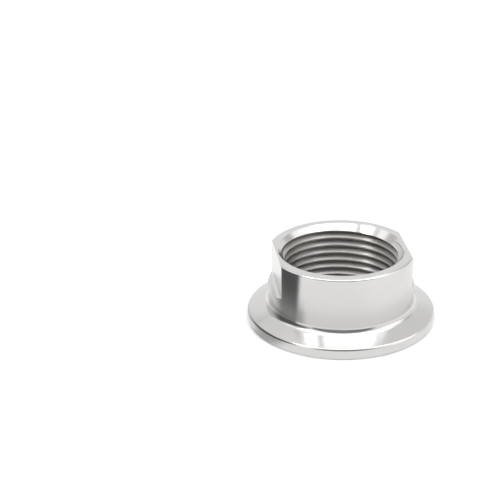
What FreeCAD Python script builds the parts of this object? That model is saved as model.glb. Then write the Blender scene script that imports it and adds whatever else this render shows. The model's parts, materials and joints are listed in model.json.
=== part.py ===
"""Sanitary clamp ferrule with a threaded mouth and two wrench flats.

One piece, turned from stainless bar, then milled. Its clamp flange has a
gasket groove in the sealing face and a tapered back. A round body stands on
the taper and is bored through for a pipe thread. Two parallel flats are
milled across the body for a wrench, down to a ledge.

Units are millimetres and degrees. The origin is the centre of the sealing
face. +Z runs along the bore to the threaded mouth, and the flats face +X
and -X.
"""

import FreeCAD, Part
import math
import os
from dataclasses import dataclass

# Clamp flange, in the 1 1/2 inch clamp size
flange_diameter = 50.5
rim_height = 2.85
taper_angle = 20.0
rim_chamfer = 0.3

# Gasket groove in the sealing face
outer_land_width = 1.8
groove_width = 3.4
groove_depth = 1.5
groove_edge_chamfer = 0.3

# Body
overall_height = 20.0
bore_diameter = 30.3
body_wall = 4.5
taper_fillet = 1.3

# Chamfer turned on the body's top edge, wider than it is high
top_chamfer_width = 0.55
top_chamfer_height = 0.3

# Lead-ins of the bore, both at 45 degrees
mouth_chamfer = 1.85
face_chamfer = 0.9

# Wrench flats, milled after the turning
flat_depth = 2.15
flat_length = 9.8
ledge_fillet = 0.9

# Most of a profile's side that a chamfer or a fillet at one end may take
corner_share = 0.45

# Room by which a cutter stands out of what it cuts
cutter_room = 2.0

flange_radius = flange_diameter / 2
bore_radius = bore_diameter / 2
body_radius = bore_radius + body_wall
flat_distance = body_radius - flat_depth
ledge_height = overall_height - flat_length
groove_radius = flange_radius - outer_land_width - groove_width / 2
taper_rise = (flange_radius - body_radius) * math.tan(math.radians(taper_angle))


def point(radius, height):
    """Point of the half section, in the XZ plane."""
    return FreeCAD.Vector(radius, 0, height)


def toward(start, end, distance):
    """Point on the way from start to end, at this distance from start."""
    way = FreeCAD.Vector(end - start)
    way.normalize()
    return start + way * distance


@dataclass
class Corner:
    """Corner of a profile: sharp, or cut by a chamfer, or rounded by a fillet."""

    radius: float
    height: float
    chamfer: float = 0
    fillet: float = 0


def cut_corner(before, corner, after, chamfer, fillet):
    """Points that take a corner's place in a profile.

    A sharp corner gives itself. A chamfer gives its two ends, and a fillet
    the start, middle and end of an arc that touches both sides. Both are
    held down where a side is too short for them.
    """
    if not chamfer and not fillet:
        return [corner]
    to_before = before - corner
    to_after = after - corner
    half_angle = to_before.getAngle(to_after) / 2
    longest = corner_share * min(to_before.Length, to_after.Length)
    setback = min(chamfer or fillet / math.tan(half_angle), longest)
    start = toward(corner, before, setback)
    end = toward(corner, after, setback)
    if chamfer:
        return [start, end]
    radius = setback * math.tan(half_angle)
    centre = toward(corner, (start + end) / 2, radius / math.sin(half_angle))
    return [start, toward(centre, corner, radius), end]


def closed_profile(corners):
    """Face inside a closed outline of corners."""
    points = [point(corner.radius, corner.height) for corner in corners]
    afters = points[1:] + points[:1]
    befores = points[-1:] + points[:-1]
    stretches = []
    for corner, before, here, after in zip(corners, befores, points, afters):
        stretches.append(cut_corner(before, here, after, corner.chamfer, corner.fillet))
    edges = []
    for stretch, following in zip(stretches, stretches[1:] + stretches[:1]):
        if len(stretch) == 3:
            edges.append(Part.Arc(*stretch).toShape())
        if len(stretch) == 2:
            edges.append(Part.LineSegment(*stretch).toShape())
        edges.append(Part.LineSegment(stretch[-1], following[0]).toShape())
    return Part.Face(Part.Wire(edges))


def revolved(face):
    """Solid swept by a half section that turns once about the bore's axis."""
    return face.revolve(FreeCAD.Vector(0, 0, 0), FreeCAD.Vector(0, 0, 1), 360)


def turned_ring():
    """The piece as it leaves the lathe, apart from its gasket groove."""
    return revolved(closed_profile([
        Corner(bore_radius + face_chamfer, 0),
        Corner(flange_radius, 0, chamfer=rim_chamfer),
        Corner(flange_radius, rim_height, chamfer=rim_chamfer),
        Corner(body_radius, rim_height + taper_rise, fillet=taper_fillet),
        Corner(body_radius, overall_height - top_chamfer_height),
        Corner(body_radius - top_chamfer_width, overall_height),
        Corner(bore_radius + mouth_chamfer, overall_height),
        Corner(bore_radius, overall_height - mouth_chamfer),
        Corner(bore_radius, face_chamfer),
    ]))


def groove_cutter():
    """Ring that the form tool takes out of the sealing face.

    The floor is one arc, groove_width across at the face. A 45 degree
    chamfer breaks each edge.
    """
    half_width = groove_width / 2
    floor_radius = (half_width ** 2 + groove_depth ** 2) / (2 * groove_depth)
    centre_height = groove_depth - floor_radius
    reach = math.sqrt(floor_radius ** 2 - (groove_edge_chamfer - centre_height) ** 2)
    reach_at_face = reach + groove_edge_chamfer
    inner_edge = point(groove_radius - reach_at_face, 0)
    inner_floor = point(groove_radius - reach, groove_edge_chamfer)
    outer_floor = point(groove_radius + reach, groove_edge_chamfer)
    outer_edge = point(groove_radius + reach_at_face, 0)
    outer_below = point(outer_edge.x, -cutter_room)
    inner_below = point(inner_edge.x, -cutter_room)
    outline = [
        Part.LineSegment(inner_edge, inner_floor),
        Part.Arc(inner_floor, point(groove_radius, groove_depth), outer_floor),
        Part.LineSegment(outer_floor, outer_edge),
        Part.LineSegment(outer_edge, outer_below),
        Part.LineSegment(outer_below, inner_below),
        Part.LineSegment(inner_below, inner_edge),
    ]
    return revolved(Part.Face(Part.Wire([stretch.toShape() for stretch in outline])))


def flat_cutter():
    """Bar that mills the flat on the +X side and leaves a fillet at the ledge."""
    outside = body_radius + cutter_room
    above = overall_height + cutter_room
    face = closed_profile([
        Corner(flat_distance, ledge_height, fillet=ledge_fillet),
        Corner(outside, ledge_height),
        Corner(outside, above),
        Corner(flat_distance, above),
    ])
    face.translate(FreeCAD.Vector(0, -body_radius, 0))
    return face.extrude(FreeCAD.Vector(0, 2 * body_radius, 0))


def clamp_adapter():
    """The finished piece."""
    piece = turned_ring().cut(groove_cutter())
    cutter = flat_cutter()
    for turn in (0, 180):
        side_cutter = cutter.copy()
        side_cutter.rotate(FreeCAD.Vector(0, 0, 0), FreeCAD.Vector(0, 0, 1), turn)
        piece = piece.cut(side_cutter)
    return piece


os.makedirs("parts", exist_ok=True)
adapter = clamp_adapter()
adapter.exportStep("parts/clamp_adapter.step")
print("clamp_adapter: valid", adapter.isValid(), "volume in mm3", round(adapter.Volume, 1))
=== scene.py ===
"""A stainless clamp ferrule with a threaded mouth, dressed for its studio picture.

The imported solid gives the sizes. One watertight mesh replaces it: the same
turned and milled form, with the cut thread in its bore and its edges eased.
All forms are worked out in millimetres, in the row frame, and go into
Blender in metres.
"""

import json
import logging
import math
from dataclasses import dataclass, field
from enum import Enum

import bpy
import numpy as np
from mathutils import Matrix, Vector


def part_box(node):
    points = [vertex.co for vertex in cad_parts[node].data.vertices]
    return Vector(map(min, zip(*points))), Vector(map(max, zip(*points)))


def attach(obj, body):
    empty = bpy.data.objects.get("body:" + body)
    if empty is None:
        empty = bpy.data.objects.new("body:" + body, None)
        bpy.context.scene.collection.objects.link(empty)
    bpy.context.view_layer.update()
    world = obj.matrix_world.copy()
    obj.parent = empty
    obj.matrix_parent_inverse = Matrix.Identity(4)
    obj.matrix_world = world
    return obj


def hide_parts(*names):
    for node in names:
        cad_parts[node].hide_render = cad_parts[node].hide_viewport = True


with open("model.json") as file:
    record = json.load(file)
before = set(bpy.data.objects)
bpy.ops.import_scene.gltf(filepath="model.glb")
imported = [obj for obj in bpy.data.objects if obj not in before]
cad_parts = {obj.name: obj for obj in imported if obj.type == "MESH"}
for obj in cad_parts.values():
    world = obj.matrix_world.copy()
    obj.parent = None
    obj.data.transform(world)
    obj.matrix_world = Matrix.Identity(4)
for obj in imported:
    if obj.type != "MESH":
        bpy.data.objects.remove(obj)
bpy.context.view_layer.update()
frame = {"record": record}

log = logging.getLogger("clamp_adapter")

MM = 0.001
NODE = "clamp_adapter"
BODY = "root"

# Distance in mm below which two places count as one
SAME = 1e-6

# Rings of a surface: the radius and the height of each, by column
Rows = list[tuple[np.ndarray, np.ndarray]]

# What feeds a node's input: an output, or a node by its first output
Feed = bpy.types.NodeSocket | bpy.types.Node
Tree = bpy.types.NodeTree


class Finish(Enum):
    """How a stretch of the surface was made, in the order of the mesh's material slots."""

    TURNED = 0
    MILLED = 1
    THREADED = 2


def linear(hex_colour: str) -> tuple[float, float, float, float]:
    """Turns an sRGB hex colour into Blender's linear colour.

    Args:
        hex_colour: the colour as six hex digits.

    Returns:
        Red, green, blue and an alpha of 1.
    """
    channels = [int(hex_colour[i:i + 2], 16) / 255 for i in (0, 2, 4)]
    curve = [c / 12.92 if c <= 0.04045 else ((c + 0.055) / 1.055) ** 2.4 for c in channels]
    return (curve[0], curve[1], curve[2], 1.0)


def add_object(name: str, data: bpy.types.ID) -> bpy.types.Object:
    """Adds an object to the scene.

    Args:
        name: the object's name.
        data: its mesh, lamp or lens.

    Returns:
        The object, at the origin.
    """
    made = bpy.data.objects.new(name, data)
    bpy.context.scene.collection.objects.link(made)
    return made


def add_mesh(name: str, points: list, faces: list) -> bpy.types.Object:
    """Adds a mesh object.

    Args:
        name: the name of the object and its mesh.
        points: the points, in metres.
        faces: each face's point numbers.

    Returns:
        The object, at the origin.
    """
    mesh = bpy.data.meshes.new(name)
    mesh.from_pydata(points, [], faces)
    return add_object(name, mesh)


def eased(points: np.ndarray, radii: np.ndarray, steps: int) -> np.ndarray:
    """Rounds the corners of an open outline.

    Each corner with a radius is replaced by an arc that touches both of its
    sides: the arc's ends stand radius / tan(half the corner's angle) from
    the corner, and its points lie at even angles about the arc's centre.

    Args:
        points: the outline's corners, one (radius, height) a row, in mm.
        radii: the round at each corner in mm, 0 for none.
        steps: how many straight steps an arc is drawn with.

    Returns:
        The outline's points, one (radius, height) a row.
    """
    pieces = [points[:1]]
    for before, corner, after, radius in zip(points[:-2], points[1:-1], points[2:], radii[1:-1]):
        if radius <= 0:
            pieces.append(corner[None])
            continue
        to_before = (before - corner) / np.linalg.norm(before - corner)
        to_after = (after - corner) / np.linalg.norm(after - corner)
        half = math.acos(float(np.clip(to_before @ to_after, -1, 1))) / 2
        bisector = (to_before + to_after) / np.linalg.norm(to_before + to_after)
        centre = corner + bisector * radius / math.sin(half)
        first = corner + to_before * radius / math.tan(half) - centre
        last = corner + to_after * radius / math.tan(half) - centre
        share = np.linspace(0, 1, steps + 1)[:, None]
        sweep = math.pi - 2 * half
        arc = (np.sin((1 - share) * sweep) * first + np.sin(share * sweep) * last) / math.sin(sweep)
        pieces.append(centre + arc)
    pieces.append(points[-1:])
    return np.concatenate(pieces)


def supported(outline: np.ndarray, reach: float) -> np.ndarray:
    """Adds a point near both ends of each long side of an outline.

    The points hold the shading of a flat side flat up to its edges.

    Args:
        outline: the outline's points, one (radius, height) a row, in mm.
        reach: how far from a side's ends its new points stand, in mm. A side
            is long if it is over four times this.

    Returns:
        The outline with its new points.
    """
    sides = np.diff(outline, axis=0)
    lengths = np.linalg.norm(sides, axis=1)
    pieces = []
    for start, side, length in zip(outline[:-1], sides, lengths):
        pieces.append(start[None])
        if length > 4 * reach:
            near = side * reach / length
            pieces.append(np.array([start + near, start + side - near]))
    pieces.append(outline[-1:])
    return np.concatenate(pieces)


@dataclass(frozen=True)
class FerruleSizes:
    """Sizes of the ferrule in mm.

    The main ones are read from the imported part. The others are its
    construction's own, which the pack doesn't carry.
    """

    flange_radius: float
    overall_height: float
    bore_radius: float
    flat_distance: float
    body_wall: float = 4.5
    rim_height: float = 2.85
    rim_chamfer: float = 0.3
    taper_angle: float = 20.0
    taper_fillet: float = 1.3
    outer_land_width: float = 1.8
    groove_width: float = 3.4
    groove_depth: float = 1.5
    groove_edge_chamfer: float = 0.3
    top_chamfer_width: float = 0.55
    top_chamfer_height: float = 0.3
    mouth_chamfer: float = 1.85
    face_chamfer: float = 0.9
    flat_length: float = 9.8
    ledge_fillet: float = 0.9

    @classmethod
    def from_frame(cls) -> "FerruleSizes":
        """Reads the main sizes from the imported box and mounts.

        Returns:
            The sizes, with the others at their own values.
        """
        low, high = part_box(NODE)
        mounts = {mount["name"]: mount for mount in frame["record"]["mounts"]}
        reaches = (-low[0], -low[1], high[0], high[1])
        return cls(
            flange_radius=min(reaches) / MM,
            overall_height=high[2] / MM,
            bore_radius=mounts["pipe_thread"]["dims"]["r_mm"],
            flat_distance=mounts["wrench_flat_right"]["pos_m"][0] / MM,
        )

    @property
    def body_radius(self) -> float:
        """Outside of the round body."""
        return self.bore_radius + self.body_wall

    @property
    def ledge_height(self) -> float:
        """Height of the ledge under the wrench flats."""
        return self.overall_height - self.flat_length

    @property
    def groove_radius(self) -> float:
        """Radius of the circle that the gasket groove's floor runs on."""
        return self.flange_radius - self.outer_land_width - self.groove_width / 2


@dataclass(frozen=True)
class PipeThread:
    """Right-hand pipe thread of 60 degrees, 11.5 turns to the inch, in mm.

    The helix starts below the piece, so that its turns fill the bore. The
    cut deepens over the run-in, from first_cut_height, and fades over the
    run-out, from last_full_height.
    """

    pitch: float = 25.4 / 11.5
    depth: float = 1.45
    flank_angle: float = 30.0
    crest_width: float = 0.25
    crest_round: float = 0.07
    root_round: float = 0.09
    round_steps: int = 2
    start_height: float = -1.8
    first_cut_height: float = 2.2
    run_in: float = 1.4
    last_full_height: float = 18.75
    run_out: float = 1.6

    def section(self) -> np.ndarray:
        """One pitch of the thread's section, from crest to crest.

        A flat crest, a straight flank that goes outward by the depth, a
        narrow root and the same flank back, with eased corners.

        Returns:
            One (height along the pitch, depth of the cut) a row.
        """
        flank = self.depth * math.tan(math.radians(self.flank_angle))
        crest = self.crest_width / 2
        points = np.array([
            (0, 0),
            (crest, 0),
            (crest + flank, self.depth),
            (self.pitch - crest - flank, self.depth),
            (self.pitch - crest, 0),
            (self.pitch, 0),
        ])
        radii = np.array([0, self.crest_round, self.root_round, self.root_round, self.crest_round, 0])
        return eased(points, radii, self.round_steps)[:-1]

    def cut_share(self, height: np.ndarray) -> np.ndarray:
        """How much of its depth the cut has, by the height of its turn.

        It rises from 0 to 1 over the run-in and falls again over the
        run-out, where the tool leaves the mouth, both as 3 x squared less
        2 x cubed.

        Args:
            height: height of the groove's turn in mm.

        Returns:
            The share of the full depth, from 0 to 1.
        """
        start = np.clip((height - self.first_cut_height) / self.run_in, 0, 1)
        end = np.clip((height - self.last_full_height) / self.run_out, 0, 1)
        return start * start * (3 - 2 * start) - end * end * (3 - 2 * end)


@dataclass
class MeshParts:
    """Points and quads of a mesh before it is cleaned, with each quad's finish."""

    points: np.ndarray
    quads: np.ndarray
    finishes: np.ndarray

    def cleaned(self) -> tuple[np.ndarray, list[list[int]], np.ndarray]:
        """Drops the corners that quads use twice, and the points that nothing uses.

        A quad with two neighbouring corners alike becomes a triangle, and
        one with fewer than three different corners goes.

        Returns:
            The points, the faces as lists of point numbers, and each face's finish.
        """
        fresh = self.quads != np.roll(self.quads, 1, axis=1)
        corners = fresh.sum(axis=1)
        whole = corners == 4
        three = corners == 3
        kept = np.zeros(len(self.points), bool)
        kept[self.quads[whole].ravel()] = True
        kept[self.quads[three][fresh[three]]] = True
        number = np.cumsum(kept) - 1
        quads = number[self.quads[whole]]
        triangles = number[self.quads[three][fresh[three]].reshape(-1, 3)]
        faces = quads.tolist() + triangles.tolist()
        finishes = np.concatenate([self.finishes[whole], self.finishes[three]])
        return self.points[kept], faces, finishes


@dataclass
class ClampFerrule:
    """The ferrule: its turned form, its wrench flats and its thread as one closed mesh.

    Lengths are in mm. A cut edge is eased by edge_ease, or by at most
    eased_share of a narrow ledge. Polishing has rounded the rim's upper edge
    and the foot of the top chamfer by polished_ease. The fillet at the
    body's foot is larger than the solid's by fillet_spread.
    """

    sizes: FerruleSizes
    thread: PipeThread = field(default_factory=PipeThread)
    flat_columns: int = 54
    round_columns: int = 132
    edge_columns_apart: float = 0.15
    edge_ease: float = 0.07
    eased_share: float = 0.3
    polished_ease: float = 0.4
    fillet_spread: float = 0.7
    ease_steps: int = 3
    fillet_steps: int = 10
    groove_steps: int = 16
    ledge_steps: int = 8
    rings_under_ledge: int = 3
    chamfer_steps: int = 6
    chamfer_rows_from: float = 0.5
    chamfer_rows_to: float = 0.94
    support: float = 0.12
    ring_gap: float = 0.25
    weld: float = 0.02

    def columns(self) -> np.ndarray:
        """Angles of the mesh's columns, once round.

        They are even over each flat and over each round side, and two more
        stand edge_columns_apart degrees beside each edge of a flat, to keep
        that edge crisp.

        Returns:
            The angles in radians, rising from 0 to less than a full turn.
        """
        edge = math.acos(self.sizes.flat_distance / self.sizes.body_radius)
        close = math.radians(self.edge_columns_apart)
        over_flat = np.linspace(-edge, edge, self.flat_columns + 1)
        over_round = np.linspace(edge, math.pi - edge, self.round_columns + 1)[1:-1]
        beside = np.array([-edge - close, -edge + close, edge - close, edge + close])
        half = np.concatenate([over_flat, over_round, beside])
        return np.sort(np.concatenate([half, half + math.pi]) % (2 * math.pi))

    def lower_rows(self, angles: np.ndarray) -> Rows:
        """Rings from the bore's lower end, round the flange and up the body.

        They follow one turned profile: bore, face chamfer, sealing face with
        the arc of the gasket groove, rim, taper, fillet and body.

        Args:
            angles: the columns' angles.

        Returns:
            Radius and height of each ring at each column, in mm.
        """
        sizes = self.sizes
        half_width = sizes.groove_width / 2
        floor_radius = (half_width ** 2 + sizes.groove_depth ** 2) / (2 * sizes.groove_depth)
        centre_height = sizes.groove_depth - floor_radius
        floor_reach = math.sqrt(floor_radius ** 2 - (sizes.groove_edge_chamfer - centre_height) ** 2)
        face_reach = floor_reach + sizes.groove_edge_chamfer
        swing = math.asin(floor_reach / floor_radius)
        turns = np.linspace(-swing, swing, self.groove_steps + 1)
        floor = np.stack([
            sizes.groove_radius + floor_radius * np.sin(turns),
            centre_height + floor_radius * np.cos(turns),
        ], axis=1)
        taper = math.radians(sizes.taper_angle)
        foot = sizes.rim_height + (sizes.flange_radius - sizes.body_radius) * math.tan(taper)
        ease = self.edge_ease
        inward = [
            (sizes.bore_radius, self.thread_bottom, 0),
            (sizes.bore_radius, sizes.face_chamfer, ease),
            (sizes.bore_radius + sizes.face_chamfer, 0, ease),
            (sizes.groove_radius - face_reach, 0, ease),
            (floor[0, 0], floor[0, 1], 0),
        ]
        outward = [
            (floor[-1, 0], floor[-1, 1], 0),
            (sizes.groove_radius + face_reach, 0, ease),
            (sizes.flange_radius - sizes.rim_chamfer, 0, ease),
            (sizes.flange_radius, sizes.rim_chamfer, ease),
            (sizes.flange_radius, sizes.rim_height - sizes.rim_chamfer, ease),
            (
                sizes.flange_radius - sizes.rim_chamfer * math.cos(taper),
                sizes.rim_height + sizes.rim_chamfer * math.sin(taper),
                self.polished_ease,
            ),
        ]
        upward = [
            outward[-1],
            (sizes.body_radius, foot, sizes.taper_fillet + self.fillet_spread),
            (sizes.body_radius, sizes.ledge_height - self.ring_gap, 0),
        ]
        inner = self.outline(inward, self.ease_steps)
        outer = self.outline(outward + [(sizes.body_radius, foot, 0)], self.ease_steps)[:-1]
        body = self.outline(upward, self.fillet_steps)[1:]
        profile = supported(np.concatenate([inner, floor[1:-1], outer, body]), self.support)
        return self.level_rings(profile, angles)

    @staticmethod
    def level_rings(profile: np.ndarray, angles: np.ndarray) -> Rows:
        """Turns a profile's points into rings with one radius and one height all round."""
        return [(np.full_like(angles, radius), np.full_like(angles, height)) for radius, height in profile]

    @staticmethod
    def outline(corners: list[tuple[float, float, float]], steps: int) -> np.ndarray:
        """Eases an outline given as (radius, height, round) corners."""
        table = np.array(corners)
        return eased(table[:, :2], table[:, 2], steps)

    @property
    def thread_bottom(self) -> float:
        """Height of the ring where the plain lower end of the bore meets the thread, in mm."""
        return self.thread.first_cut_height - self.ring_gap

    def flat_rows(self, angles: np.ndarray) -> Rows:
        """Rings of the ledge, its fillet and the flats.

        Seen from above, a flat is a straight line: its radius at a column is
        its distance over the cosine of the column's angle. Under it the
        cutter's nose leaves a quarter round, which starts on the ledge, or
        where it comes out of the round body. Where the body isn't milled the
        rings fall together.

        Args:
            angles: the columns' angles.

        Returns:
            Radius and height of each ring at each column, in mm.
        """
        sizes = self.sizes
        facing = np.abs(np.cos(angles))
        milled = sizes.body_radius * facing > sizes.flat_distance
        overhang = (sizes.body_radius * facing - sizes.flat_distance) / sizes.ledge_fillet
        first = np.arcsin(np.clip(1 - overhang, 0, 1))
        edge_height = sizes.ledge_height + sizes.ledge_fillet * (1 - np.cos(first))
        nose_start = np.minimum(sizes.body_radius, (sizes.flat_distance + sizes.ledge_fillet) / facing)
        ledge_width = sizes.body_radius - nose_start
        ease = np.minimum(self.edge_ease, self.eased_share * ledge_width)
        bevel = self.eased_share * ease
        body = np.full_like(angles, sizes.body_radius)
        rows = [
            (body, edge_height - self.edge_ease),
            (body, edge_height - bevel),
            (body - bevel, edge_height),
            (body - ease, edge_height),
        ]
        for share in np.linspace(0, 1, self.ledge_steps + 1):
            turn = first + (math.pi / 2 - first) * share
            reach = sizes.flat_distance + sizes.ledge_fillet * (1 - np.sin(turn))
            radius = np.where(milled, np.minimum(reach / facing, sizes.body_radius), sizes.body_radius)
            height = np.where(milled, sizes.ledge_height + sizes.ledge_fillet * (1 - np.cos(turn)),
                              sizes.ledge_height + sizes.ledge_fillet)
            rows.append((radius, height))
        return rows

    def upper_rows(self, angles: np.ndarray) -> Rows:
        """Rings of the flats' upper end, the top edge, the top face and the mouth.

        A ring's radius is the smaller of two at its height: the turned
        outside with its chamfer, and the flat's distance over the cosine of
        the column's angle. The flat's own top edge is a quarter round: at a
        height h above its start, it stands back by the round's radius less
        the root of that radius squared less h squared.

        Args:
            angles: the columns' angles.

        Returns:
            Radius and height of each ring at each column, in mm.
        """
        sizes = self.sizes
        facing = np.abs(np.cos(angles))
        foot = sizes.overall_height - sizes.top_chamfer_height
        slope = [
            (sizes.body_radius - sizes.top_chamfer_width * share, foot + sizes.top_chamfer_height * share, 0)
            for share in np.linspace(self.chamfer_rows_from, self.chamfer_rows_to, self.chamfer_steps)
        ]
        outside = self.outline([
            (sizes.body_radius, sizes.ledge_height + sizes.ledge_fillet + self.support, 0),
            (sizes.body_radius, foot - self.polished_ease, 0),
            (sizes.body_radius, foot, self.polished_ease),
            *slope,
            (sizes.body_radius - sizes.top_chamfer_width, sizes.overall_height, self.edge_ease),
            (sizes.body_radius - sizes.top_chamfer_width - self.support, sizes.overall_height, 0),
        ], self.ease_steps)
        rise = np.clip(outside[:, 1] - (sizes.overall_height - self.edge_ease), 0, self.edge_ease)
        flat = sizes.flat_distance - self.edge_ease + np.sqrt(self.edge_ease ** 2 - rise ** 2)
        flat[-1] -= self.support
        rows = [
            (np.minimum(radius, distance / facing), np.full_like(angles, height))
            for (radius, height), distance in zip(outside, flat)
        ]
        mouth = self.outline([
            (sizes.bore_radius + sizes.mouth_chamfer + self.support, sizes.overall_height, 0),
            (sizes.bore_radius + sizes.mouth_chamfer, sizes.overall_height, self.edge_ease),
            (sizes.bore_radius + sizes.mouth_chamfer - self.ring_gap, self.thread_top, 0),
        ], self.ease_steps)
        return rows + self.level_rings(mouth, angles)

    @property
    def thread_top(self) -> float:
        """Height in mm of the ring in the mouth's chamfer that stands above every groove of the thread."""
        return self.sizes.overall_height - self.ring_gap

    def thread_surface(self, angles: np.ndarray) -> tuple[np.ndarray, np.ndarray, np.ndarray]:
        """Radius and height of the thread's rows in each column.

        The rows follow the helix: height is the turn's start plus the pitch
        times the angle over a full turn, plus the place in the section. The
        radius is that of the crests plus the section's depth, or that of the
        mouth's cone where the cone is wider. The row nearest to where cone
        and thread cross is moved onto the crossing.

        Args:
            angles: the columns' angles.

        Returns:
            Radius, height and whether the threading tool cut there, each with
            a column a row and the helix's rows along it.
        """
        sizes = self.sizes
        thread = self.thread
        section = thread.section()
        turns = math.ceil((sizes.overall_height - thread.start_height) / thread.pitch) + 1
        turned = angles[:, None] / (2 * math.pi) + np.arange(turns)[None, :]
        turn_start = thread.start_height + thread.pitch * turned
        height = (turn_start[:, :, None] + section[None, None, :, 0]).reshape(len(angles), -1)
        share = thread.cut_share(turn_start + thread.pitch / 2)
        cut = (share[:, :, None] * section[None, None, :, 1]).reshape(len(angles), -1)
        radius = sizes.bore_radius + cut
        cone_foot = sizes.overall_height - sizes.mouth_chamfer
        cone = sizes.bore_radius + np.maximum(height - cone_foot, 0)
        lead = radius - cone
        crossing = lead[:, :-1] * lead[:, 1:] < 0
        along = np.where(crossing, lead[:, :-1] / np.where(crossing, lead[:, :-1] - lead[:, 1:], 1), 0)
        meets = height[:, :-1] + along * np.diff(height, axis=1)
        lower = crossing & (along < 0.5)
        upper = crossing & (along >= 0.5)
        moved = height.copy()
        moved[:, :-1][lower] = meets[lower]
        moved[:, 1:][upper] = meets[upper]
        at_crossing = np.zeros_like(crossing, shape=height.shape)
        at_crossing[:, :-1] |= lower
        at_crossing[:, 1:] |= upper
        cone = sizes.bore_radius + np.maximum(moved - cone_foot, 0)
        met = np.where(at_crossing, cone, np.maximum(radius, cone))
        return met, moved, met > cone + SAME

    def surface(self) -> MeshParts:
        """Joins the rings and the thread's helix into one closed surface.

        Rings are joined to the next ring. In the bore each helix row is
        joined to the next, and the last of a turn to the first of the turn
        above. What reaches past the first or last ring takes that ring's point.

        Returns:
            The points in mm, the quads and their finishes.
        """
        angles = self.columns()
        count = len(angles)
        lower = self.lower_rows(angles)
        flats = self.flat_rows(angles)
        rows = lower + flats + self.upper_rows(angles)
        radius = np.array([row[0] for row in rows])
        height = np.array([row[1] for row in rows])
        numbers = np.arange(radius.size).reshape(radius.shape)
        for i in range(1, len(rows)):
            apart = np.hypot(radius[i] - radius[i - 1], height[i] - height[i - 1])
            numbers[i] = np.where(apart < SAME, numbers[i - 1], numbers[i])
        here, above = numbers[:-1], numbers[1:]
        rings = np.stack([here, np.roll(here, -1, 1), np.roll(above, -1, 1), above], axis=2).reshape(-1, 4)
        ledge = len(lower) + self.rings_under_ledge
        milled = self.milled(radius, height, angles, ledge, len(lower) + len(flats))
        ring_finish = np.where(milled, Finish.MILLED.value, Finish.TURNED.value)

        thread_radius, thread_height, thread_cut = self.thread_surface(angles)
        steps = thread_radius.shape[1]
        section_rows = len(self.thread.section())
        turns = steps // section_rows
        offset = radius.size
        helix = offset + np.arange(count * steps).reshape(count, turns, section_rows)
        low = thread_height < self.thread_bottom + self.weld
        high = thread_height > self.thread_top - self.weld
        helix = np.where(low.reshape(helix.shape), numbers[0][:, None, None], helix)
        helix = np.where(high.reshape(helix.shape), numbers[-1][:, None, None], helix)
        strip = helix.transpose(1, 0, 2).reshape(turns * count, section_rows)
        rises = np.concatenate([strip[:-count], strip[count:, :1]], axis=1)
        left, right = rises[:-1], rises[1:]
        threads = np.stack([left[:, :-1], left[:, 1:], right[:, 1:], right[:, :-1]], axis=2).reshape(-1, 4)

        points = np.concatenate([
            self.cylindrical(radius, height, angles[None, :]),
            self.cylindrical(thread_radius, thread_height, angles[:, None]),
        ])
        tool_cut = np.concatenate([np.zeros(offset, bool), thread_cut.ravel()])
        thread_finish = np.where(tool_cut[threads].any(axis=1), Finish.THREADED.value, Finish.TURNED.value)
        finishes = np.concatenate([ring_finish.ravel(), thread_finish])
        return MeshParts(points, np.concatenate([rings, threads]), finishes)

    def milled(
        self, radius: np.ndarray, height: np.ndarray, angles: np.ndarray, start: int, end: int,
    ) -> np.ndarray:
        """Which faces between the rings the end mill has made.

        They are those whose four corners lie on a ledge or its fillet, or on
        a flat below its top edge.

        Args:
            radius: each ring's radius at each column, in mm.
            height: each ring's height at each column, in mm.
            angles: the columns' angles.
            start: number of the ledges' first ring.
            end: number of the first ring above the fillets.

        Returns:
            True or False for each face, with a ring a row.
        """
        sizes = self.sizes
        facing = np.abs(np.cos(angles))
        cut = radius * facing < sizes.flat_distance + SAME
        cut[:start] = False
        cut[start:end] = sizes.body_radius * facing > sizes.flat_distance - SAME
        cut &= height < sizes.overall_height - self.edge_ease / 2
        both = cut[:-1] & cut[1:]
        return both & np.roll(both, -1, axis=1)

    @staticmethod
    def cylindrical(radius: np.ndarray, height: np.ndarray, angle: np.ndarray) -> np.ndarray:
        """Turns radius, height and angle into one (x, y, z) a row."""
        return np.stack([radius * np.cos(angle), radius * np.sin(angle), height], axis=-1).reshape(-1, 3)

    def build(self) -> bpy.types.Object:
        """Makes the ferrule's Blender object.

        Returns:
            The object, at the origin, with its place in its mesh.
        """
        points, faces, finishes = self.surface().cleaned()
        made = add_mesh("ferrule", (points * MM).tolist(), faces)
        mesh = made.data
        mesh.polygons.foreach_set("use_smooth", np.ones(len(faces), bool))
        mesh.polygons.foreach_set("material_index", finishes)
        mesh.normals_split_custom_set_from_vertices(self.weighted_normals(mesh).tolist())
        mesh.validate()
        mesh.update()
        return made

    def dress(self, piece: bpy.types.Object) -> None:
        """Gives the ferrule its finishes, one a material slot.

        Args:
            piece: the ferrule's object.
        """
        finishes = {
            Finish.TURNED: TurnedSteel(),
            Finish.MILLED: MilledSteel(),
            Finish.THREADED: CutThreadSteel(root_radius=self.sizes.bore_radius + self.thread.depth),
        }
        for kind in Finish:
            piece.data.materials.append(finishes[kind].material())

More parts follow.
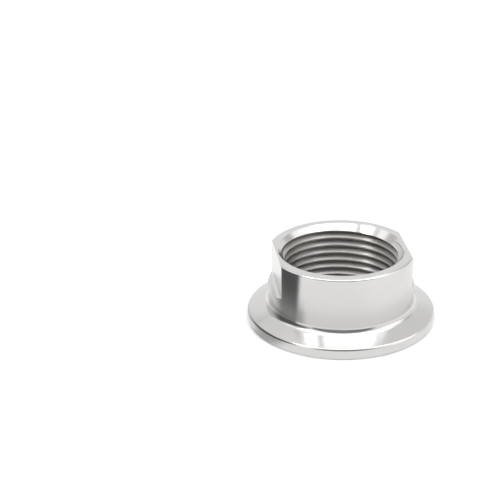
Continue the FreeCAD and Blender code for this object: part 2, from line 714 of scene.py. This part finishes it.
    @staticmethod
    def weighted_normals(mesh: bpy.types.Mesh) -> np.ndarray:
        """Normals at a mesh's points, weighted by the area of the faces there.

        A point's normal is the sum of its faces' normals, each times its
        face's area, made one long.

        Args:
            mesh: the mesh.

        Returns:
            One unit normal a row.
        """
        faces = len(mesh.polygons)
        normal = np.empty(faces * 3, np.float32)
        area = np.empty(faces, np.float32)
        size = np.empty(faces, np.int32)
        corner = np.empty(len(mesh.loops), np.int32)
        mesh.polygons.foreach_get("normal", normal)
        mesh.polygons.foreach_get("area", area)
        mesh.polygons.foreach_get("loop_total", size)
        mesh.loops.foreach_get("vertex_index", corner)
        weighted = np.repeat(normal.reshape(-1, 3) * area[:, None], size, axis=0)
        total = np.stack([np.bincount(corner, weighted[:, i], len(mesh.vertices)) for i in range(3)], axis=1)
        return total / np.linalg.norm(total, axis=1, keepdims=True)


def add_node(
    tree: Tree, kind: str, inputs: dict[str | int, object] | None = None, **settings: object,
) -> bpy.types.Node:
    """Adds a node with its settings and links.

    Args:
        tree: the node tree.
        kind: the node's type, without its leading ShaderNode.
        inputs: for each input, by name or number, a value or what feeds it.
        settings: the node's own properties, by name.

    Returns:
        The node.
    """
    made = tree.nodes.new("ShaderNode" + kind)
    for name, value in settings.items():
        setattr(made, name, value)
    for name, value in (inputs or {}).items():
        if isinstance(value, bpy.types.Node):
            value = value.outputs[0]
        if isinstance(value, bpy.types.NodeSocket):
            tree.links.new(value, made.inputs[name])
        else:
            made.inputs[name].default_value = value
    return made


def bare_material(name: str) -> tuple[bpy.types.Material, Tree]:
    """Makes a material whose node tree is still empty.

    Args:
        name: the material's name.

    Returns:
        The material and its node tree.
    """
    made = bpy.data.materials.new(name)
    made.use_nodes = True
    made.node_tree.nodes.clear()
    return made, made.node_tree


def place_in_mm(tree: Tree) -> Feed:
    """Gives the place on an object, in mm from the origin."""
    where = add_node(tree, "TexCoord").outputs["Object"]
    return add_node(tree, "VectorMath", {0: where, "Scale": 1 / MM}, operation="SCALE")


def from_axis(tree: Tree, place: Feed) -> tuple[Feed, Feed]:
    """Gives the level vector from the bore's axis to a place, and its length."""
    level = add_node(tree, "VectorMath", {0: place, 1: (1, 1, 0)}, operation="MULTIPLY")
    return level, add_node(tree, "VectorMath", {0: level}, operation="LENGTH").outputs["Value"]


@dataclass(frozen=True)
class StainlessFinish:
    """Stainless steel 316 whose surface shows how it was worked.

    Every tool leaves fine parallel marks. They spread a reflection across
    themselves and keep it sharp along themselves, and where they are uneven
    they draw faint lines. The real marks are too fine to show in the
    picture, so they are drawn as coarse as mark_spacing. Lengths are in mm.
    """

    name: str = "stainless"
    colour: str = "D9D8D7"
    stain_colour: str = "D2D1D0"
    roughness: float = 0.16
    roughness_spread: float = 0.04
    anisotropy: float = 0.6
    blur_turn: float = 0.25
    mark_spacing: float = 0.4
    mark_height: float = 0.002
    mark_detail: float = 3.0
    mark_unevenness: float = 0.6
    stain_size: float = 9.0
    stain_detail: float = 2.0
    stain_unevenness: float = 0.5
    noise_range: tuple[float, float] = (0.25, 0.75)

    def lay(self, tree: Tree, place: Feed) -> tuple[Feed, Feed]:
        """Makes the marks' pattern space and their direction.

        Args:
            tree: the material's nodes.
            place: the place on the piece, in mm.

        Returns:
            A vector whose Z counts marks across and whose X and Y drift along
            them, and the direction along the marks.
        """
        raise NotImplementedError

    def tint(self, tree: Tree, place: Feed, colour: Feed) -> Feed:
        """Changes the colour by place. A plain finish keeps it."""
        return colour

    def material(self) -> bpy.types.Material:
        """Makes the finish's material.

        The marks' noise raises the surface by their height and moves the
        roughness to both sides by its spread. The blur is turned a quarter
        of a turn from the direction along the marks, to run across them.

        Returns:
            The material.
        """
        made, tree = bare_material(self.name)
        place = place_in_mm(tree)
        pattern, along = self.lay(tree, place)
        marks = add_node(tree, "TexNoise", {
            "Vector": pattern, "Scale": 1.0, "Detail": self.mark_detail, "Roughness": self.mark_unevenness,
        })
        stains = add_node(tree, "TexNoise", {
            "Vector": place,
            "Scale": 1 / self.stain_size,
            "Detail": self.stain_detail,
            "Roughness": self.stain_unevenness,
        })
        relief = add_node(tree, "Bump", {"Height": marks, "Strength": 1.0, "Distance": self.mark_height * MM})
        steel = add_node(tree, "Mix", {
            0: stains, 6: linear(self.colour), 7: linear(self.stain_colour),
        }, data_type="RGBA").outputs[2]
        gloss = add_node(tree, "MapRange", {
            "Value": marks,
            "From Min": self.noise_range[0],
            "From Max": self.noise_range[1],
            "To Min": self.roughness - self.roughness_spread,
            "To Max": self.roughness + self.roughness_spread,
        })
        surface = add_node(tree, "BsdfPrincipled", {
            "Base Color": self.tint(tree, place, steel),
            "Metallic": 1.0,
            "Roughness": gloss,
            "Anisotropic": self.anisotropy,
            "Anisotropic Rotation": self.blur_turn,
            "Normal": relief,
            "Tangent": along,
        })
        add_node(tree, "OutputMaterial", {"Surface": surface})
        return made


@dataclass(frozen=True)
class TurnedSteel(StainlessFinish):
    """Stainless steel turned in a lathe, then polished while it spins.

    The marks run round, so the eye sees a satin whose light and dark bands
    run up the body with sharp sides and fade out at their ends.
    """

    name: str = "turned stainless steel"
    drift: float = 2.0

    def lay(self, tree: Tree, place: Feed) -> tuple[Feed, Feed]:
        """Lays the marks as rings about the axis.

        Across the marks, radius plus height grows on upright, sloping and
        level faces alike. Along them, the unit vector from the axis drifts.

        Args:
            tree: the material's nodes.
            place: the place on the piece, in mm.

        Returns:
            The pattern space and the direction along the marks.
        """
        level, radius = from_axis(tree, place)
        height = add_node(tree, "SeparateXYZ", {0: place}).outputs["Z"]
        across = add_node(tree, "Math", {0: radius, 1: height}, operation="ADD")
        count = add_node(tree, "Math", {0: across, 1: self.mark_spacing}, operation="DIVIDE")
        rise = add_node(tree, "CombineXYZ", {"Z": count})
        outward = add_node(tree, "VectorMath", {0: level}, operation="NORMALIZE")
        drift = add_node(tree, "VectorMath", {0: outward, "Scale": self.drift}, operation="SCALE")
        pattern = add_node(tree, "VectorMath", {0: drift, 1: rise}, operation="ADD")
        along = add_node(tree, "VectorMath", {0: (0, 0, 1), 1: outward}, operation="CROSS_PRODUCT")
        return pattern, along


@dataclass(frozen=True, kw_only=True)
class CutThreadSteel(TurnedSteel):
    """Stainless steel cut by a threading tool and left unpolished.

    It is rougher than the turned faces and its marks run along the thread. Its colour
    is darkened towards the roots as painted shade, so the eye reads each turn as a
    light crest over a dark groove.
    """

    root_radius: float
    name: str = "thread-cut stainless steel"
    colour: str = "D6D4D1"
    stain_colour: str = "C6C4C0"
    roughness: float = 0.34
    anisotropy: float = 0.9
    mark_spacing: float = 0.3
    painted_shade_width: float = 0.45
    painted_root_shade: float = 0.55

    def tint(self, tree: Tree, place: Feed, colour: Feed) -> Feed:
        """Darkens the colour towards the thread's roots, a painted shade in the grooves.

        Args:
            tree: the material's nodes.
            place: the place on the piece, in mm.
            colour: the steel's own colour.

        Returns:
            The colour, darker towards the root's radius.
        """
        # Painted shade: the colour darkens over the last part of the depth before the root's radius.
        radius = from_axis(tree, place)[1]
        shade = add_node(tree, "MapRange", {
            "Value": radius,
            "From Min": self.root_radius - self.painted_shade_width,
            "From Max": self.root_radius,
            "To Min": 1.0,
            "To Max": self.painted_root_shade,
        }, interpolation_type="SMOOTHSTEP")
        return add_node(tree, "VectorMath", {0: colour, "Scale": shade}, operation="SCALE")


@dataclass(frozen=True)
class MilledSteel(StainlessFinish):
    """Stainless steel milled flat by an end mill.

    Its fine straight marks run level across the body, so the eye sees one
    even tone, a little duller than the polished faces beside it.
    """

    name: str = "milled stainless steel"
    roughness: float = 0.2
    mark_spacing: float = 0.45
    mark_length: float = 12.0

    def lay(self, tree: Tree, place: Feed) -> tuple[Feed, Feed]:
        """Lays the marks level along the flats.

        Args:
            tree: the material's nodes.
            place: the place on the piece, in mm.

        Returns:
            The pattern space and the direction along the marks.
        """
        stretch = (1 / self.mark_length, 1 / self.mark_length, 1 / self.mark_spacing)
        pattern = add_node(tree, "VectorMath", {0: place, 1: stretch}, operation="MULTIPLY")
        return pattern, add_node(tree, "CombineXYZ", {"Y": 1.0})


@dataclass(frozen=True)
class Glow:
    """Part of the surround that reflections show brighter or dimmer than the rest.

    Directions are in degrees, as the camera stands: the azimuth runs from
    the camera's side towards the picture's right, the elevation up from the
    table. A stretch over 1 makes it that much wider than high.
    """

    name: str
    azimuth: float
    elevation: float
    core: float
    edge: float
    level: float
    stretch: float = 1.0

    def direction(self) -> Vector:
        """Works out the way to its middle.

        Returns:
            The unit vector in the camera's frame: X right, Y away from the
            camera, Z up.
        """
        azimuth = math.radians(self.azimuth)
        elevation = math.radians(self.elevation)
        level = Vector((math.sin(azimuth), -math.cos(azimuth), 0)) * math.cos(elevation)
        return level + Vector((0, 0, math.sin(elevation)))


def only_mirrored(thing: bpy.types.Object) -> None:
    """Stages an object that reflections show, and that neither the camera nor the light meets.

    Args:
        thing: the object.
    """
    thing.visible_camera = False
    thing.visible_diffuse = False
    thing.visible_transmission = False
    thing.visible_shadow = False


@dataclass(frozen=True)
class SoftBox:
    """Large soft box over the table, more towards the camera than behind, and its arm. Lengths in m.

    The box has an even radiance. The arm hangs under it at a corner and is
    there only for reflections, and its grey is emitted, a painted reflection. Its two
    ends are given to the right of the ferrule and forward of it, as the camera sees them.
    """

    width: float = 1.2
    depth: float = 0.63
    height: float = 1.0
    forward: float = 0.285
    radiance: float = 1.6
    arm_start: tuple[float, float] = (-0.29, 0.21)
    arm_end: tuple[float, float] = (-0.63, 0.45)
    arm_width: float = 0.12
    arm_gap: float = 0.02
    arm_level: float = 0.5

    def build(self, turned: Matrix) -> None:
        """Adds the lamp and its arm. The lamp's power is its radiance times pi times its area.

        Args:
            turned: the turn from the camera's frame to the row frame.
        """
        lamp = bpy.data.lights.new("soft box", "AREA")
        lamp.shape = "RECTANGLE"
        lamp.size = self.width
        lamp.size_y = self.depth
        lamp.energy = self.radiance * math.pi * self.width * self.depth
        box = add_object("soft box", lamp)
        box.matrix_world = turned.to_4x4() @ Matrix.Translation((0, -self.forward, self.height))
        start = Vector((self.arm_start[0], -self.arm_start[1], self.height - self.arm_gap))
        end = Vector((self.arm_end[0], -self.arm_end[1], self.height - self.arm_gap))
        aside = (end - start).cross(Vector((0, 0, 1))).normalized() * self.arm_width / 2
        corners = (start - aside, start + aside, end + aside, end - aside)
        arm = add_mesh("soft box arm", [turned @ corner for corner in corners], [(0, 1, 2, 3)])
        material, tree = bare_material("grey painted arm")
        # Painted reflection: the arm's grey is emitted, not lit.
        surface = add_node(tree, "Emission", {"Strength": self.arm_level})
        add_node(tree, "OutputMaterial", {"Surface": surface})
        arm.data.materials.append(material)
        only_mirrored(arm)


@dataclass(frozen=True)
class Shade:
    """Painted soft shadow on the table that reflections show, or painted light if its share is over 1.
    Lengths in mm.

    Its middle lies to the right of the ferrule's axis and forward of it, as
    the camera sees them. It is a disc that is full out to one radius and
    fades out to another. With starts and full it is a ring, which comes up
    between those two radii.
    """

    name: str
    right: float
    forward: float
    fades: float
    ends: float
    share: float
    starts: float = -2.0
    full: float = -1.0

    def factor(self, tree: Tree, place: Feed, turned: Matrix) -> Feed:
        """Makes the factor by which it paints the table darker, or lighter.

        Args:
            tree: the table's nodes.
            place: the place on the table, in mm.
            turned: the turn from the camera's frame to the row frame.

        Returns:
            The factor: 1 outside the shadow, the share inside.
        """
        middle = turned @ Vector((self.right, -self.forward, 0))
        away = add_node(tree, "VectorMath", {0: place, 1: middle}, operation="DISTANCE").outputs["Value"]
        comes_up = add_node(tree, "MapRange", {
            "Value": away, "From Min": self.starts, "From Max": self.full,
        }, interpolation_type="SMOOTHSTEP")
        fades_out = add_node(tree, "MapRange", {
            "Value": away, "From Min": self.fades, "From Max": self.ends, "To Min": 1.0, "To Max": 0.0,
        }, interpolation_type="SMOOTHSTEP")
        inside = add_node(tree, "Math", {0: comes_up, 1: fades_out}, operation="MULTIPLY")
        return add_node(tree, "Mix", {0: inside, 2: 1.0, 3: self.share}, label=self.name)


@dataclass(frozen=True)
class Table:
    """White table, matt to the light and with the ferrule's shadow kept. Lengths in mm.

    The camera sees it as pure white. Reflections show it with its painted shades,
    and painted a little dimmer in the disc under the bore, because the deep thread
    takes its light.
    """

    half_width: float = 3000.0
    colour: str = "E6E6E6"
    seen_white: float = 1.12
    mirrored_white: float = 1.09
    under_bore: float = 0.95
    # Painted shadows and light on the table's colour, which only reflections show.
    shades: tuple[Shade, ...] = (
        Shade("light ring under the rim", 0, 0, fades=25.0, ends=25.5, share=1.4, starts=23.5, full=24.2),
        Shade("shadow round the flange", 0, 4, fades=33, ends=40, share=0.82, starts=25, full=28),
        Shade("camera's dim side of the table", -12, 60, fades=20, ends=50, share=0.95),
        Shade("shadow under the bore's far side", 0, -14, fades=12, ends=17, share=0.3),
        Shade("dark card's shadow", -28, 16, fades=5, ends=12, share=0.5),
    )

    def build(self, bore_radius: float, turned: Matrix) -> None:
        """Adds the table.

        Args:
            bore_radius: radius of the bore.
            turned: the turn from the camera's frame to the row frame.
        """
        half = self.half_width * MM
        corners = [(-half, -half, 0), (half, -half, 0), (half, half, 0), (-half, half, 0)]
        made = add_mesh("table", corners, [(0, 1, 2, 3)])
        material, tree = bare_material("matt white table")
        place = place_in_mm(tree)
        reach = add_node(tree, "VectorMath", {0: place}, operation="LENGTH").outputs["Value"]
        outside = add_node(tree, "Math", {0: reach, 1: bore_radius}, operation="GREATER_THAN")
        dimmed = self.mirrored_white
        for shade in self.shades:
            factor = shade.factor(tree, place, turned)
            dimmed = add_node(tree, "Math", {0: dimmed, 1: factor}, operation="MULTIPLY")
        # Painted shade: in reflections the disc under the bore is a little dimmer.
        under_bore = add_node(tree, "Mix", {0: outside, 2: self.under_bore, 3: 1.0})
        mirrored = add_node(tree, "Math", {0: dimmed, 1: under_bore}, operation="MULTIPLY")
        path = add_node(tree, "LightPath")
        matt = linear(self.colour)[0]
        glossy = add_node(tree, "Mix", {0: path.outputs["Is Glossy Ray"], 2: matt, 3: mirrored})
        level = add_node(tree, "Mix", {0: path.outputs["Is Camera Ray"], 2: glossy, 3: self.seen_white})
        surface = add_node(tree, "BsdfDiffuse", {"Color": level})
        add_node(tree, "OutputMaterial", {"Surface": surface})
        made.data.materials.append(material)


@dataclass(frozen=True)
class DarkCard:
    """Dark card curved round the ferrule's left side, which only reflections show. Lengths in mm.

    Its dark and pale tones are emitted, a painted reflection. It leans outward.
    Its front edge is soft, and its foot is painted a little lighter. Behind it grows
    pale and fades out, and it reaches further back the higher it is: the slant says
    by how many degrees a mm.
    """

    foot_radius: float = 28.5
    lean: float = 0.78
    bottom: float = 0.3
    top: float = 48.0
    front: float = -50.0
    back: float = -160.0
    solid_from: float = -56.0
    pales_from: float = -74.0
    fades_from: float = -98.0
    ends: float = -118.0
    slant: float = 0.55
    level: float = 0.1
    back_level: float = 0.6
    foot_level: float = 0.2
    foot_height: float = 7.0
    steps: int = 60

    def build(self, turned: Matrix) -> None:
        """Adds the card. Its map holds azimuth and height, both from 0 to 1.

        Args:
            turned: the turn from the camera's frame to the row frame.
        """
        along = np.linspace(0, 1, self.steps + 1)
        azimuth = np.radians(self.front + (self.back - self.front) * along)
        height = np.array([[self.bottom], [self.top]])
        radius = self.foot_radius + self.lean * height
        rows = (radius * np.sin(azimuth), -radius * np.cos(azimuth), np.repeat(height, len(along), axis=1))
        placed = np.stack(rows, axis=-1).reshape(-1, 3) @ np.array(turned).T * MM
        low = np.arange(self.steps)
        high = low + self.steps + 1
        faces = np.stack([low, low + 1, high + 1, high], axis=1)
        made = add_mesh("dark card", placed.tolist(), faces.tolist())
        chart = np.stack([np.tile(along, 2), np.repeat([0.0, 1.0], len(along))], axis=1)
        layer = made.data.uv_layers.new(name="azimuth and height")
        layer.uv.foreach_set("vector", chart[faces].ravel())
        made.data.materials.append(self.material())
        only_mirrored(made)

    def material(self) -> bpy.types.Material:
        """Makes the card's material.

        Returns:
            The material: plain emission, mixed with transparency at both ends.
        """
        made, tree = bare_material("dark card")
        chart = add_node(tree, "SeparateXYZ", {0: add_node(tree, "TexCoord").outputs["UV"]})
        azimuth = add_node(tree, "MapRange", {
            "Value": chart.outputs["X"], "To Min": self.front, "To Max": self.back,
        })
        height = add_node(tree, "Math", {0: chart.outputs["Y"], 1: self.top}, operation="MULTIPLY")
        lag = add_node(tree, "Math", {0: height, 1: self.slant}, operation="MULTIPLY")
        slanted = add_node(tree, "Math", {0: lag, 1: azimuth}, operation="ADD")
        body, foot, front, back = (
            add_node(tree, "MapRange", {
                "Value": value, "From Min": start, "From Max": end, "To Min": low, "To Max": high,
            }, interpolation_type="SMOOTHSTEP")
            for value, start, end, low, high in (
                (slanted, self.pales_from, self.fades_from, self.level, self.back_level),
                (height, 0.0, self.foot_height, self.foot_level, 0.0),
                (azimuth, self.front, self.solid_from, 0.0, 1.0),
                (slanted, self.fades_from, self.ends, 1.0, 0.0),
            )
        )
        there = add_node(tree, "Math", {0: front, 1: back}, operation="MULTIPLY")
        level = add_node(tree, "Math", {0: body, 1: foot}, operation="ADD")
        # Painted reflection: the card's tones are emitted, not lit.
        card = add_node(tree, "Emission", {"Strength": level})
        clear = add_node(tree, "BsdfTransparent")
        surface = add_node(tree, "MixShader", {0: there, 1: clear, 2: card})
        add_node(tree, "OutputMaterial", {"Surface": surface})
        return made


@dataclass(frozen=True)
class Surround:
    """Pale room round the table: white to the eye, uneven in reflections, and an even fill light.

    Where two glows overlap, the later one shows.
    """

    seen_level: float = 1.0
    fill_level: float = 0.78
    mirrored_level: float = 0.98
    glows: tuple[Glow, ...] = (
        Glow("dim wall behind, at the right", 144, 42, 10, 30, 0.84),
        Glow("dim wall behind, at the left", -154, 42, 5, 15, 0.88),
        Glow("lit wall at the right", 84, 35, 12, 26, 1.5),
        Glow("dim corner behind, at the right", 122, 28, 5, 12, 0.65),
        Glow("dim corner behind, at the left", -122, 30, 5, 12, 0.7),
        Glow("lit ceiling behind, at the right", 108, 60, 6, 13, 1.9),
        Glow("lit ceiling behind, at the left", -102, 60, 3, 6, 2.0),
        Glow("lit wall at the left", -62, 48, 12, 22, 1.5),
        Glow("dim room at the left", -70, 20, 14, 20, 0.25),
        Glow("lit wall at the far left", -102, 44, 5, 13, 1.4),
        Glow("dim room behind the camera", 0, 8, 40, 52, 0.24, stretch=1.2),
        Glow("dim gap at the left", -93, 49, 1.5, 6, 0.8),
        Glow("lamp at the left", -77, 57, 3, 7, 12.0),
        Glow("lamp at the right", 64, 55, 3, 12, 3.0),
    )

    def build(self, turned: Matrix) -> None:
        """Sets the world.

        In reflections each glow takes the level's place where the direction
        is within its core, and fades out to its edge.

        Args:
            turned: the turn from the camera's frame to the row frame.
        """
        world = bpy.data.worlds.new("pale surround")
        bpy.context.scene.world = world
        world.use_nodes = True
        tree = world.node_tree
        tree.nodes.clear()
        direction = add_node(tree, "TexCoord").outputs["Generated"]
        room = self.mirrored_level
        for glow in self.glows:
            stretch = Vector((1, 1, glow.stretch))
            middle = (turned @ glow.direction() * stretch).normalized()
            away = add_node(tree, "VectorMath", {0: direction, 1: stretch}, operation="MULTIPLY")
            toward = add_node(tree, "VectorMath", {0: away}, operation="NORMALIZE")
            near = add_node(tree, "VectorMath", {0: toward, 1: middle}, operation="DOT_PRODUCT")
            share = add_node(tree, "MapRange", {
                "Value": near.outputs["Value"],
                "From Min": math.cos(math.radians(glow.edge)),
                "From Max": math.cos(math.radians(glow.core)),
            }, interpolation_type="SMOOTHSTEP")
            room = add_node(tree, "Mix", {0: share, 2: room, 3: glow.level}, label=glow.name)
        path = add_node(tree, "LightPath")
        lit = add_node(tree, "Mix", {0: path.outputs["Is Glossy Ray"], 2: self.fill_level, 3: room})
        strength = add_node(tree, "Mix", {0: path.outputs["Is Camera Ray"], 2: lit, 3: self.seen_level})
        surface = add_node(tree, "Background", {"Color": (1, 1, 1, 1), "Strength": strength})
        add_node(tree, "OutputWorld", {"Surface": surface})


@dataclass
class Studio:
    """White table under a soft box, in a pale surround with a dim side."""

    camera_turn: float
    table: Table = field(default_factory=Table)
    soft_box: SoftBox = field(default_factory=SoftBox)
    dark_card: DarkCard = field(default_factory=DarkCard)
    surround: Surround = field(default_factory=Surround)

    def build(self, bore_radius: float) -> None:
        """Adds everything that the studio has.

        Args:
            bore_radius: radius of the bore in mm.
        """
        turned = Matrix.Rotation(math.radians(self.camera_turn), 3, "Z")
        self.table.build(bore_radius, turned)
        self.soft_box.build(turned)
        self.dark_card.build(turned)
        self.surround.build(turned)
        log.info("studio: table, soft box, dark card and %d glows", len(self.surround.glows))


@dataclass(frozen=True)
class PhotoCamera:
    """Camera at the photograph's place, in degrees and mm.

    It looks down and towards +Y of the row frame, turned about Z by the
    angle that the wrench flats show. The offsets say where the origin lies,
    to the right of and above the middle of the picture.
    """

    focal_pixels: float = 1400.0
    picture_width: float = 500.0
    sensor_width: float = 36.0
    distance: float = 381.538
    elevation: float = 24.504
    roll: float = 0.929
    offset_right: float = 24.342
    offset_up: float = -18.153
    flats_turn: float = 6.93

    def build(self) -> None:
        """Adds the scene's camera."""
        tilt = math.radians(self.elevation)
        roll = math.radians(self.roll)
        forward = Vector((0, math.cos(tilt), -math.sin(tilt)))
        right = Vector((1, 0, 0))
        up = Vector((0, math.sin(tilt), math.cos(tilt)))
        eye = -self.offset_right * right - self.offset_up * up - self.distance * forward
        image_right = right * math.cos(roll) - up * math.sin(roll)
        image_up = right * math.sin(roll) + up * math.cos(roll)
        pose = Matrix((image_right, image_up, -forward)).transposed().to_4x4()
        pose.translation = eye * MM
        lens = bpy.data.cameras.new("photo camera")
        lens.sensor_width = self.sensor_width
        lens.lens = self.focal_pixels / self.picture_width * self.sensor_width
        made = add_object("photo camera", lens)
        made.matrix_world = Matrix.Rotation(math.radians(-self.flats_turn), 4, "Z") @ pose
        bpy.context.scene.camera = made


def main() -> None:
    """Builds the ferrule, dresses it, and sets up the studio and the camera."""
    logging.basicConfig(level=logging.INFO, format="%(name)s: %(message)s")
    ferrule = ClampFerrule(FerruleSizes.from_frame())
    piece = ferrule.build()
    ferrule.dress(piece)
    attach(piece, BODY)
    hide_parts(NODE)
    log.info("%s: %d points, %d faces", piece.name, len(piece.data.vertices), len(piece.data.polygons))
    camera = PhotoCamera()
    camera.build()
    Studio(-camera.flats_turn).build(ferrule.sizes.bore_radius)
    bpy.context.scene.view_settings.view_transform = "Standard"


if __name__ == "__main__":
    main()
